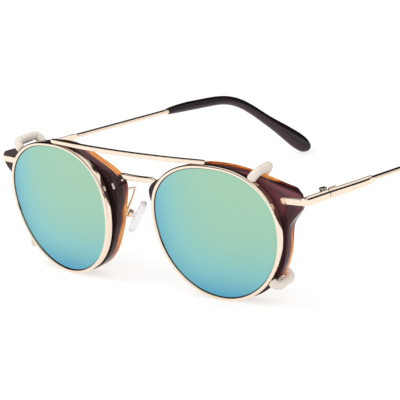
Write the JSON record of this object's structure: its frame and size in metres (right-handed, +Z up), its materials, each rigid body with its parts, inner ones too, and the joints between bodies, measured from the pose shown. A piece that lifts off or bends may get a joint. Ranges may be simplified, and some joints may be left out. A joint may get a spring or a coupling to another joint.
{
  "type": "round glasses with sun clip",
  "caption": "Round two-layer plastic glasses with thin metal temples and bridge, wearing a metal clip-on with mirrored lenses; temples fold, pads rock, the clip pulls off.",
  "frame": {"origin": "centre of the footprint on the floor the glasses stand on", "axes": "+X to the wearer's left, -Y is where the lenses face, +Z up; lens side and tips both rest on the floor"},
  "size_m": [0.1348, 0.171, 0.0477],
  "materials": {
    "dark acetate": "polished dark brown",
    "amber acetate": "polished amber tortoise",
    "tip acetate": "polished dark brown",
    "clear lens": "clear",
    "mirrored lens": "green to blue mirror coating",
    "pale gold": "polished pale gold plating",
    "steel": "polished",
    "silicone sleeve": "milky translucent",
    "pad silicone": "clear soft"
  },
  "bodies": {
    "front": {"bridge": "pale gold", "bridge_rivet_left": "steel", "bridge_rivet_right": "steel", "endpiece_left": "pale gold", "endpiece_right": "pale gold", "endpiece_screw_left": "steel", "endpiece_screw_right": "steel", "hinge_leaf_left": "pale gold", "hinge_leaf_right": "pale gold", "hinge_screw_left": "steel", "hinge_screw_right": "steel", "lens_clear_left": "clear lens", "lens_clear_right": "clear lens", "pad_arm_left": "pale gold", "pad_arm_right": "pale gold", "pad_box_left": "pale gold", "pad_box_right": "pale gold", "pad_screw_left": "steel", "pad_screw_right": "steel", "rim_back_left": "amber acetate", "rim_back_right": "amber acetate", "rim_front_left": "dark acetate", "rim_front_right": "dark acetate"},
    "temple_left": {"temple_leaf_left": "pale gold", "temple_left": "pale gold", "temple_tip_left": "tip acetate"},
    "temple_right": {"temple_leaf_right": "pale gold", "temple_right": "pale gold", "temple_tip_right": "tip acetate"},
    "pad_left": {"nose_pad_left": "pad silicone"},
    "pad_right": {"nose_pad_right": "pad silicone"},
    "clip": {"claw_lower_left": "pale gold", "claw_lower_right": "pale gold", "claw_sleeve_lower_left": "silicone sleeve", "claw_sleeve_lower_right": "silicone sleeve", "claw_sleeve_upper_left": "silicone sleeve", "claw_sleeve_upper_right": "silicone sleeve", "claw_upper_left": "pale gold", "claw_upper_right": "pale gold", "clip_bar": "pale gold", "clip_lens_left": "mirrored lens", "clip_lens_right": "mirrored lens", "clip_ring_left": "pale gold", "clip_ring_right": "pale gold"}
  },
  "joints": [
    {"name": "temple_left_hinge", "type": "hinge", "parent": "front", "child": "temple_left", "pos_m": [0.0644, -0.06237, 0.03551], "axis": [0, -0.0881, 0.9961], "range_deg": [0, 88]},
    {"name": "temple_right_hinge", "type": "hinge", "parent": "front", "child": "temple_right", "pos_m": [-0.0644, -0.06237, 0.03551], "axis": [0, 0.0881, -0.9961], "range_deg": [0, 85]},
    {"name": "pad_left_rock", "type": "hinge", "parent": "front", "child": "pad_left", "pos_m": [0.01206, -0.07016, 0.02102], "axis": [-0.537, -0.8228, -0.186], "range_deg": [-10, 10]},
    {"name": "pad_right_rock", "type": "hinge", "parent": "front", "child": "pad_right", "pos_m": [-0.01206, -0.07016, 0.02102], "axis": [-0.537, 0.8228, 0.186], "range_deg": [-10, 10]},
    {"name": "clip_slide", "type": "slide", "parent": "front", "child": "clip", "axis": [0, -1, 0], "range_m": [0, 0.025], "deforming": ["claw_lower_left", "claw_lower_right", "claw_sleeve_lower_left", "claw_sleeve_lower_right", "claw_sleeve_upper_left", "claw_sleeve_upper_right", "claw_upper_left", "claw_upper_right"]}
  ]
}
